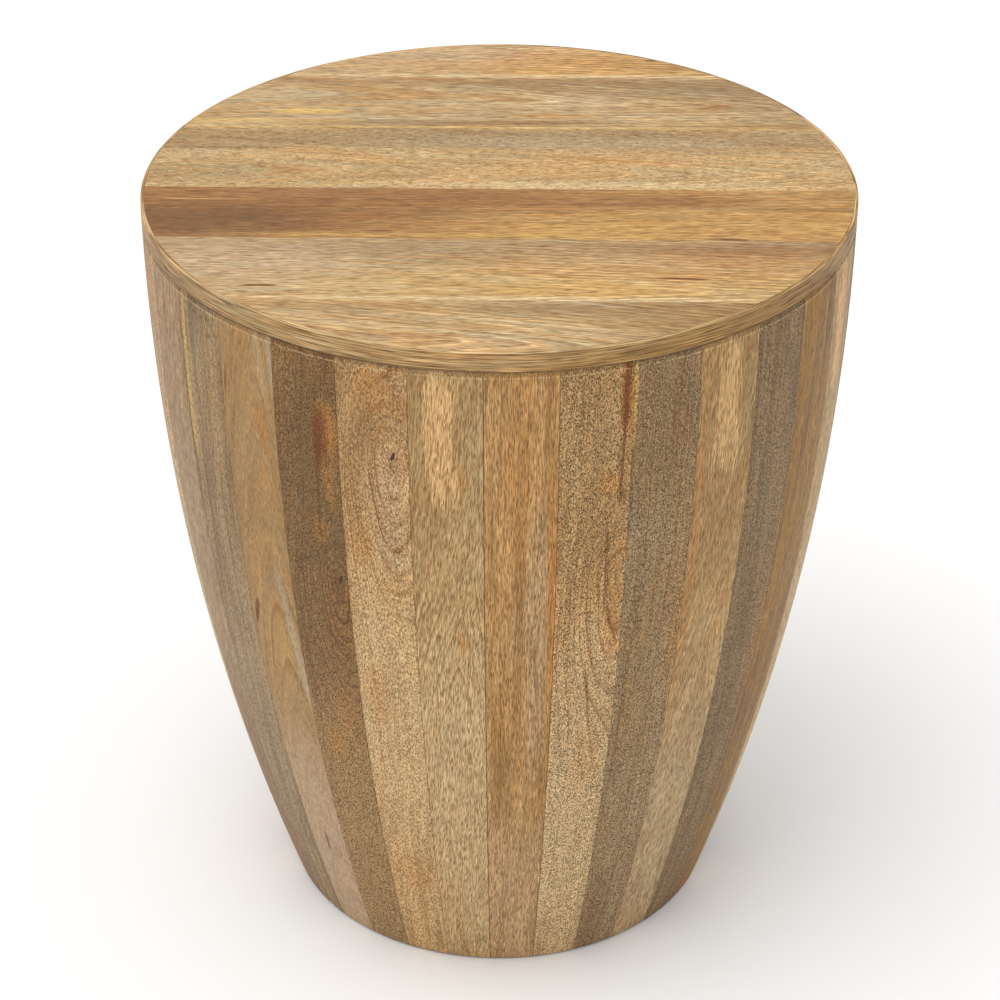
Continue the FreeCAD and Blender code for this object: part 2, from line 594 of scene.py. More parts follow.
def newGroup(name, given, made):
    # named inputs and outputs, each with a first value that also tells its kind
    tree = bpy.data.node_groups.new(name, "ShaderNodeTree")
    for side, sockets in (("INPUT", given), ("OUTPUT", made)):
        for label, value in sockets.items():
            kind = socketKinds[len(value) if isinstance(value, tuple) else 1]
            tree.interface.new_socket(name=label, in_out=side, socket_type=kind).default_value = value
    start = tree.nodes.new("NodeGroupInput")
    end = tree.nodes.new("NodeGroupOutput")
    return tree, start.outputs, end.inputs


def useGroup(tree, group, **values):
    # places a group; camelCase names stand for the sockets' spaced names
    node = addNode(tree, "Group", node_tree=group)
    for name, value in values.items():
        label = "".join(" " + letter if letter.isupper() else letter for letter in name).title()
        feed(tree, node.inputs[label], value)
    return node.outputs


# Where the growth lines run: arches round a peak, rings round a knot

growthShape = {
    "drift": (0.02, 0.02, 0.007),         # how quickly the lines sway across, in depth and along
    "ripple": (0.11, 0.11, 0.03),
    "rippleShare": 0.25,
    "aboveKnot": 0.55,                    # the rings are drawn out, most of all downwards
    "belowKnot": 0.22,
    "ringSpread": 1.3,
    "leastReach": 0.001,
    "noReach": 0.01,                      # a board whose knot reaches less far has none
    "ringFade": (0.45, 1.0),              # from full to none, as a share of the knot's reach
    "acrossShare": 0.25,
    "focusFade": (0.5, 1.0),
    "faintest": 0.25,                     # how strong the lines are away from the focus
}


def buildGrowthGroup():
    tree, given, made = newGroup(
        "growthLines",
        {
            "Place": arrow, "Seed": 0.0, "Peak Across": 0.0, "Peak Along": 0.0, "Roundness": 6.0,
            "Taper": 0.1, "Wander": 3.0, "Slant": 0.0, "Knot Across": 0.0, "Knot Along": 0.0,
            "Knot Reach": 0.0, "Focus Along": 250.0, "Focus Length": 500.0,
        },
        {"Field": arrow, "Grain": arrow, "Growth": 0.0, "Focus": 0.0},
    )
    seeds = combine(tree, given["Seed"], 0.0, given["Seed"])
    shifted = move(tree, given["Place"], seeds)
    drift = minus(tree, noise(tree, shifted, growthShape["drift"]), 0.5)
    ripple = minus(tree, noise(tree, shifted, growthShape["ripple"]), 0.5)
    across, depth, along = split(tree, given["Place"])
    fromPeak = minus(tree, along, given["Peak Along"])
    wander = times(tree, given["Wander"], 2.0)       # the noise swings by a half either way
    leaning = timesPlus(tree, fromPeak, given["Slant"], across)
    drifted = timesPlus(tree, drift, wander, leaning)
    swayed = timesPlus(tree, times(tree, ripple, growthShape["rippleShare"]), wander, drifted)

    aside = minus(tree, swayed, given["Peak Across"])
    deep = minus(tree, given["Roundness"], depth)
    arch = minus(tree, distance(tree, aside, deep), given["Roundness"])
    growth = plus(tree, arch, times(tree, fromPeak, given["Taper"]))

    # rings round the knot
    knotAcross = minus(tree, swayed, given["Knot Across"])
    knotAlong = minus(tree, along, given["Knot Along"])
    above = times(tree, larger(tree, knotAlong, 0.0), growthShape["aboveKnot"])
    below = times(tree, smaller(tree, knotAlong, 0.0), growthShape["belowKnot"])
    away = distance(tree, knotAcross, plus(tree, above, below))
    reach = larger(tree, given["Knot Reach"], growthShape["leastReach"])
    inside = oneMinus(tree, ramp(tree, over(tree, away, reach), *growthShape["ringFade"]))
    hasKnot = mathStep("GREATER_THAN")(tree, given["Knot Reach"], growthShape["noReach"])
    toRings = minus(tree, times(tree, away, growthShape["ringSpread"]), growth)
    bent = timesPlus(tree, times(tree, inside, hasKnot), toRings, growth)
    field = combine(tree, bent, times(tree, across, growthShape["acrossShare"]), along)
    feed(tree, made["Field"], move(tree, field, seeds))
    feed(tree, made["Grain"], move(tree, combine(tree, drifted, depth, along), seeds))
    feed(tree, made["Growth"], bent)

    # the lines are strong in one stretch of the board and faint elsewhere
    off = absolute(tree, minus(tree, along, given["Focus Along"]))
    faded = ramp(tree, over(tree, off, given["Focus Length"]), *growthShape["focusFade"])
    feed(tree, made["Focus"], timesPlus(tree, faded, growthShape["faintest"] - 1.0, 1.0))
    return tree


# The tone of a board: broad streaks, fine streaks and warm streaks

toneShape = {
    "broad": ((0.16, 0.1, 0.007), 3.0, 0.55),
    "broadShare": 0.5,
    "fine": ((0.75, 0.3, 0.014), 3.0, 0.6),
    "fineShare": 0.3,
    "cloud": ((0.05, 0.05, 0.018),),
    "cloudShare": 0.2,
    "toDark": (0.1, 0.9),
    "warm": ((0.4, 0.2, 0.012), 3.0, 0.55),
    "toWarm": (0.48, 0.66),
    "hue": ((0.16, 0.1, 0.016), 4.0, 0.7),
    "toCool": (0.35, 0.65),
    "warmTint": (1.1, 0.985, 0.84, 1),
    "coolTint": (0.93, 1.01, 1.12, 1),
    "elsewhere": (31.0, 17.0, 53.0),      # the warm streaks lie apart from the dark ones
}


def buildToneGroup():
    tree, given, made = newGroup(
        "boardTone",
        {
            "Field": arrow, "Light": (0.5, 0.4, 0.3, 1), "Dark": (0.3, 0.2, 0.1, 1),
            "Warm": (0.4, 0.2, 0.1, 1), "Balance": 0.5, "Contrast": 1.0, "Warmth": 0.3, "Hue Drift": 0.6,
        },
        {"Color": (0.5, 0.4, 0.3, 1)},
    )
    broad, fine, cloud = (
        noise(tree, given["Field"], *toneShape[kind]) for kind in ("broad", "fine", "cloud")
    )
    mixed = timesPlus(tree, fine, toneShape["fineShare"], times(tree, cloud, toneShape["cloudShare"]))
    mixed = timesPlus(tree, broad, toneShape["broadShare"], mixed)
    centred = timesPlus(tree, minus(tree, mixed, 0.5), given["Contrast"], given["Balance"])
    base = blend(tree, ramp(tree, centred, *toneShape["toDark"]), given["Light"], given["Dark"])
    elsewhere = move(tree, given["Field"], toneShape["elsewhere"])
    warm = ramp(tree, noise(tree, elsewhere, *toneShape["warm"]), *toneShape["toWarm"])
    streaked = blend(tree, times(tree, warm, given["Warmth"]), base, given["Warm"])
    drift = ramp(tree, noise(tree, elsewhere, *toneShape["hue"]), *toneShape["toCool"])
    tint = blend(tree, drift, toneShape["warmTint"], toneShape["coolTint"])
    feed(tree, made["Color"], blend(tree, given["Hue Drift"], streaked, tint, "MULTIPLY"))
    return tree


# The growth lines: each darkens to a sharp edge with paler wood past it; some strong, most faint

lineShape = {
    "uneven": (0.12, 0.2, 0.02),
    "unevenness": 0.6,
    "broken": (0.4, 0.4, 0.03),
    "toWhole": (0.2, 0.5),
    "faintest": 0.3,
    "edgeSharpness": 7.0,
    "edgeEnd": (0.92, 1.0),
    "edgeGain": 1.9,
    "paleSharpness": 3.0,
    "paleStart": (0.0, 0.06),
}


def buildLineGroup():
    tree, given, made = newGroup(
        "growthEdges",
        {
            "Color": (0.5, 0.4, 0.3, 1), "Field": arrow, "Growth": 0.0, "Line": (0.2, 0.1, 0.05, 1),
            "Line Spacing": 4.0, "Line Strength": 0.4, "Pale Strength": 0.2, "Seed": 0.0,
        },
        {"Color": (0.5, 0.4, 0.3, 1)},
    )
    uneven = noise(tree, given["Field"], lineShape["uneven"])
    count = over(tree, given["Growth"], given["Line Spacing"])
    count = timesPlus(tree, uneven, lineShape["unevenness"], count)
    saw = mathStep("FRACT")(tree, count)
    which = addNode(tree, "TexWhiteNoise", noise_dimensions="1D")
    feed(tree, which.inputs["W"], plus(tree, mathStep("FLOOR")(tree, count), given["Seed"]))
    strong = timesPlus(tree, which.outputs["Value"], 1.0 - lineShape["faintest"], lineShape["faintest"])
    before = oneMinus(tree, ramp(tree, saw, *lineShape["edgeEnd"]))
    rise = times(tree, power(tree, saw, lineShape["edgeSharpness"]), before)
    rise = times(tree, rise, lineShape["edgeGain"])
    fade = power(tree, oneMinus(tree, saw), lineShape["paleSharpness"])
    fade = times(tree, fade, ramp(tree, saw, *lineShape["paleStart"]))
    broken = ramp(tree, noise(tree, given["Field"], lineShape["broken"]), *lineShape["toWhole"])
    pale = times(tree, times(tree, fade, strong), given["Pale Strength"])
    brighter = addNode(tree, "VectorMath", given["Color"], operation="SCALE")
    feed(tree, brighter.inputs["Scale"], plus(tree, pale, 1.0))
    line = times(tree, times(tree, rise, strong), broken)
    line = smaller(tree, times(tree, line, given["Line Strength"]), 1.0)
    feed(tree, made["Color"], blend(tree, line, brighter.outputs[0], given["Line"]))
    return tree


# The fine strokes of the fibres, light and dark, and the pores between them

strokeShape = {
    "noise": ((1.0, 1.0, 1.0), 3.0, 0.6),
    "swing": 3.0,
    "darkest": -0.55,
    "redSwing": 0.85,                     # light strokes are paler than the wood, dark ones browner
    "blueSwing": 1.25,
    "crowd": (0.2, 0.2, 0.03),            # where the pores stand close and where they are few
    "crowdGain": 2.0,
    "pore": (0.22, 0.55),                 # its core and its edge, as shares of its cell
    "poreStep": 0.1,
    "strokeRelief": -0.4,
}


def buildStrokeGroup():
    tree, given, made = newGroup(
        "fibresAndPores",
        {
            "Color": (0.5, 0.4, 0.3, 1), "Grain": arrow, "Stroke Width": 0.75, "Stroke Length": 5.0,
            "Stroke Strength": 1.0, "Pore Width": 1.2, "Pore Length": 6.0, "Pore Share": 0.35,
            "Pore Strength": 0.5, "Pore Color": (0.08, 0.04, 0.02, 1),
        },
        {"Color": (0.5, 0.4, 0.3, 1), "Pores": 0.0, "Height": 0.0},
    )

    def cellsOf(width, length):
        # the grain's place, in widths and lengths of one stroke or pore
        perWidth = over(tree, 1.0, given[width])
        perLength = over(tree, 1.0, given[length])
        return stretch(tree, given["Grain"], combine(tree, perWidth, perWidth, perLength))

    strokes = noise(tree, cellsOf("Stroke Width", "Stroke Length"), *strokeShape["noise"])
    swing = times(tree, minus(tree, 0.5, strokes), given["Stroke Strength"])
    swing = larger(tree, times(tree, swing, strokeShape["swing"]), strokeShape["darkest"])
    gain = combine(
        tree, timesPlus(tree, swing, strokeShape["redSwing"], 1.0), plus(tree, swing, 1.0),
        timesPlus(tree, swing, strokeShape["blueSwing"], 1.0),
    )
    shaded = stretch(tree, given["Color"], gain)

    cells = addNode(tree, "TexVoronoi", cellsOf("Pore Width", "Pore Length"))
    cells.inputs["Scale"].default_value = 1.0
    chance = split(tree, cells.outputs["Color"])[0]
    crowd = times(tree, noise(tree, given["Grain"], strokeShape["crowd"]), strokeShape["crowdGain"])
    rare = oneMinus(tree, times(tree, given["Pore Share"], crowd))
    present = ramp(tree, chance, rare, plus(tree, rare, strokeShape["poreStep"]))
    away = ramp(tree, cells.outputs["Distance"], *strokeShape["pore"])
    mask = times(tree, times(tree, oneMinus(tree, away), present), given["Pore Strength"])
    feed(tree, made["Color"], blend(tree, mask, shaded, given["Pore Color"]))
    feed(tree, made["Pores"], mask)
    feed(tree, made["Height"], minus(tree, times(tree, strokes, strokeShape["strokeRelief"]), mask))
    return tree


# One patch, mark or stripe at its own place on a board

spotShape = {
    "torn": ((0.6, 0.2, 0.02), 3.0, 0.65),
    "tornGain": 3.0,
    "acrossPower": 2.0,
    "alongPower": 3.0,                    # blunter ends than an ellipse
}


def buildSpotGroup():
    tree, given, made = newGroup(
        "spot",
        {
            "Place": arrow, "Across": 0.0, "Along": 0.0, "Half Width": 5.0, "Half Length": 20.0,
            "Softness": 0.4, "Raggedness": 0.3, "Strength": 1.0, "Tilt": 0.0,
        },
        {"Mask": 0.0},
    )
    across, _, along = split(tree, given["Place"])
    upward = minus(tree, along, given["Along"])
    middle = timesPlus(tree, upward, given["Tilt"], given["Across"])
    sideways = over(tree, minus(tree, across, middle), given["Half Width"])
    lengthways = absolute(tree, over(tree, upward, given["Half Length"]))
    sideways = power(tree, sideways, spotShape["acrossPower"])
    lengthways = power(tree, lengthways, spotShape["alongPower"])
    torn = minus(tree, noise(tree, given["Place"], *spotShape["torn"]), 0.5)
    ragged = times(tree, given["Raggedness"], spotShape["tornGain"])
    away = timesPlus(tree, torn, ragged, root(tree, plus(tree, sideways, lengthways)))
    low = oneMinus(tree, given["Softness"])
    high = plus(tree, 1.0, given["Softness"])
    feed(tree, made["Mask"], times(tree, oneMinus(tree, ramp(tree, away, low, high)), given["Strength"]))
    return tree


growthGroup = buildGrowthGroup()
toneGroup = buildToneGroup()
lineGroup = buildLineGroup()
strokeGroup = buildStrokeGroup()
spotGroup = buildSpotGroup()


# The tones of the wood, as they look in soft light

woodTones = {
    "straw": (0.74, 0.62, 0.43),
    "paleStraw": (0.81, 0.70, 0.52),
    "peach": (0.84, 0.67, 0.45),
    "yellow": (0.84, 0.69, 0.38),
    "honey": (0.71, 0.55, 0.33),
    "orange": (0.72, 0.49, 0.22),
    "tan": (0.645, 0.51, 0.325),
    "deepTan": (0.565, 0.43, 0.25),
    "goldBrown": (0.58, 0.43, 0.225),
    "paleGrey": (0.71, 0.65, 0.53),
    "pinkGrey": (0.65, 0.55, 0.43),
    "greyBrown": (0.58, 0.465, 0.315),
    "darkGrey": (0.48, 0.38, 0.25),
    "brown": (0.47, 0.34, 0.19),
    "redBrown": (0.50, 0.29, 0.12),
    "darkRed": (0.44, 0.23, 0.06),
    "umber": (0.25, 0.16, 0.09),
    "warmStraw": (0.80, 0.655, 0.45),
    "paleHoney": (0.75, 0.59, 0.38),
    "gold": (0.79, 0.61, 0.33),
    "deepGold": (0.585, 0.43, 0.165),
    "rosyGrey": (0.73, 0.63, 0.51),
    "coolBrown": (0.63, 0.525, 0.375),
    "softStraw": (0.715, 0.615, 0.455),
    "deepBrown": (0.38, 0.25, 0.13),
    "rust": (0.47, 0.27, 0.10),
    "olive": (0.39, 0.31, 0.17),
    "darkOlive": (0.27, 0.215, 0.125),
    "fawn": (0.44, 0.305, 0.155),
}


def shade(name):
    # the named tone, from screen values to linear ones
    return tuple(((c + 0.055) / 1.055) ** 2.4 if c > 0.04 else c / 12.92 for c in woodTones[name]) + (1.0,)


# Small steps that every finish is built from

def newMaterial(name):
    material = bpy.data.materials.new(name)
    material.use_nodes = True
    material.node_tree.nodes.clear()
    return material, material.node_tree


def addShader(tree, values):
    shader = addNode(tree, "BsdfPrincipled")
    for name, value in values.items():
        feed(tree, shader.inputs[name], value)
    tree.links.new(shader.outputs[0], addNode(tree, "OutputMaterial").inputs["Surface"])


def relief(tree, height, strength, depth):
    node = addNode(tree, "Bump")
    node.inputs["Strength"].default_value = strength
    node.inputs["Distance"].default_value = depth
    feed(tree, node.inputs["Height"], height)
    return node.outputs["Normal"]


# A board of wood under a clear satin coat, a little duller in its pores

satin = {
    "roughness": 0.55,
    "poreRoughness": 0.25,
    "level": 0.3,
    "coat": 0.03,
    "coatRoughness": 0.25,
    "relief": 0.35,
    "reliefDepth": 0.08 * millimetre,
}

plainLook = {
    "tones": ("tan", "deepTan", "orange", "redBrown"),   # light, dark, warm streaks, growth lines
    "balance": 0.5,
    "contrast": 3,
    "warmth": 0.35,
    "peak": (60, 250),
    "roundness": 8,
    "taper": 0.03,
    "wander": 5,
    "slant": 0,
    "knot": (0, 0, 0),                    # across, along, reach
    "lines": (4, 0.5, 0.1),               # spacing, strength, pale strength
    "focus": (250, 500),                  # where the lines are strong: middle, half length
    "hueDrift": 0.6,
    "strokes": (0.75, 9, 0.6),            # width, length, strength
    "pores": (1, 5, 0.6, 0.6),            # width, length, share, strength
    "poreTone": "umber",
    "glueLine": 0.25,
    "patches": (),                        # broad changes of tone, under the growth lines
    "spots": (),                          # marks, streaks and patches over them
    "seed": 0,
}
streaky = {"strokes": (0.6, 8, 0.95), "pores": (0.7, 6, 0.8, 0.75), "poreTone": "fawn"}
speckled = {
    "strokes": (0.7, 1.5, 1.3), "pores": (0.9, 1.6, 0.85, 0.95), "contrast": 4.5, "poreTone": "darkOlive",
}


def addSpots(tree, tone, place, spots):
    for across, along, halfWidth, halfLength, softness, raggedness, toneName, strength, *tilt in spots:
        mask = useGroup(
            tree, spotGroup, place=place, across=across, along=along, halfWidth=halfWidth,
            halfLength=halfLength, softness=softness, raggedness=raggedness, strength=strength,
            tilt=sum(tilt),
        )["Mask"]
        tone = blend(tree, mask, tone, shade(toneName))
    return tone


def boardMaterial(name, look, place, darkening=None):
    # one board's wood: place turns its object coordinates into across, depth, along, and the last
    # argument gives where its glue lines are darker and where shade is painted into its grooves
    full = {**plainLook, **look}
    material, tree = newMaterial(name)
    spot = place(tree)
    light, dark, warm, line = (shade(tone) for tone in full["tones"])
    growth = useGroup(
        tree, growthGroup, place=spot, seed=full["seed"],
        peakAcross=full["peak"][0], peakAlong=full["peak"][1],
        roundness=full["roundness"], taper=full["taper"], wander=full["wander"], slant=full["slant"],
        knotAcross=full["knot"][0], knotAlong=full["knot"][1], knotReach=full["knot"][2],
        focusAlong=full["focus"][0], focusLength=full["focus"][1],
    )
    tone = useGroup(
        tree, toneGroup, field=growth["Field"], light=light, dark=dark, warm=warm,
        balance=full["balance"], contrast=full["contrast"], warmth=full["warmth"],
        hueDrift=full["hueDrift"],
    )["Color"]
    tone = addSpots(tree, tone, spot, full["patches"])
    tone = useGroup(
        tree, lineGroup, color=tone, field=growth["Field"], growth=growth["Growth"], line=line,
        lineSpacing=full["lines"][0], lineStrength=times(tree, growth["Focus"], full["lines"][1]),
        paleStrength=times(tree, growth["Focus"], full["lines"][2]), seed=full["seed"],
    )["Color"]
    tone = addSpots(tree, tone, spot, full["spots"])
    if darkening:
        # the painted highlight along the arris below the groove
        tone = addSpots(tree, tone, spot, grooveArris)
        # dark glue lines along the joints, and painted shade in the groove under the band, in umber
        tone = blend(tree, darkening(tree, spot, full), tone, shade("umber"))
    fine = useGroup(
        tree, strokeGroup, color=tone, grain=growth["Grain"],
        strokeWidth=full["strokes"][0], strokeLength=full["strokes"][1],
        strokeStrength=full["strokes"][2],
        poreWidth=full["pores"][0], poreLength=full["pores"][1], poreShare=full["pores"][2],
        poreStrength=full["pores"][3], poreColor=shade(full["poreTone"]),
    )
    addShader(tree, {
        "Base Color": fine["Color"],
        "Roughness": timesPlus(tree, fine["Pores"], satin["poreRoughness"], satin["roughness"]),
        "Specular IOR Level": satin["level"],
        "Coat Weight": satin["coat"],
        "Coat Roughness": satin["coatRoughness"],
        "Normal": relief(tree, fine["Height"], satin["relief"], satin["reliefDepth"]),
    })
    return material


# The places of staves, planks and the other boards: across, depth and along, in millimetres

glueLineAndGrooveShadeShape = {
    "joint": (0.15, 0.6),                 # full and faded, from the joint
    "groove": (2.8, 3.3, 0.18),           # painted shade in the groove: full and faded, down from the band, and how dark
    # a painted shadow line just under the band: full, faded, and how dark
    "grooveTop": (0.2, 1.0, 0.6),
}
# a painted highlight: a pale line on every stave along the arris just below the shadow groove
grooveArris = ((0, 493.1, 60, 0.5, 0.6, 0, "paleStraw", 0.36),)


def wallAt(tree, along):
    # how far a height lies below the wall's top, and the wall's radius there
    drop = minus(tree, table["wallTop"] * perMetre, along)
    squares = timesPlus(tree, times(tree, drop, drop), -1.0, (arcRadius * perMetre) ** 2)
    return drop, plus(tree, root(tree, squares), (table["topRadius"] - arcRadius) * perMetre)


def stavePlace(number):
    # turns a stave to the front: across runs right, along runs up, depth into the wall
    def place(tree):
        across, depth, along = inMillimetres(tree, math.radians(-90.0 - staveMiddle(number)))
        return combine(tree, across, plus(tree, depth, wallAt(tree, along)[1]), along)
    return place


def staveGlueLineAndGrooveShade(tree, spot, look):
    # a hairline along both joints, and painted shade in the shadow groove under the top
    across, _, along = split(tree, spot)
    drop, wall = wallAt(tree, along)
    toJoint = minus(tree, times(tree, wall, math.tan(halfStave)), absolute(tree, across))
    joint = oneMinus(tree, ramp(tree, toJoint, *glueLineAndGrooveShadeShape["joint"]))
    darkening = times(tree, joint, look["glueLine"])
    grooveShade = []
    for full, faded, dark in (glueLineAndGrooveShadeShape["grooveTop"], glueLineAndGrooveShadeShape["groove"]):
        grooveShade.append(times(tree, oneMinus(tree, ramp(tree, drop, full, faded)), dark))
    return larger(tree, darkening, larger(tree, *grooveShade))


def plankPlace(tree):
    # along runs right, across to the back, depth down from the top face
    x, y, z = inMillimetres(tree)
    return combine(tree, y, minus(tree, table["height"] * perMetre, z), x)


def bandPlace(tree):
    # along runs round the rim, with its seam at the back, and across runs up
    x, y, z = inMillimetres(tree)
    turn = mathStep("ARCTAN2")(tree, x, times(tree, y, -1.0))
    radius = table["topRadius"] * perMetre
    return combine(tree, z, minus(tree, distance(tree, x, y), radius), times(tree, turn, radius))


def innerPlace(node):
    # along runs down the length of a batten, or along the chord of a piece of a ring
    low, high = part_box(node)
    turn = -math.atan2(low[1] + high[1], low[0] + high[0]) if "ring" in node else 0.0

    def place(tree):
        x, y, z = inMillimetres(tree, turn)
        return combine(tree, x, z, y)
    return place


# How each stave in sight looks. A patch or spot is (across from the board's middle, height,
# half width, half length, softness, raggedness, tone, strength), and a ninth value tilts it.

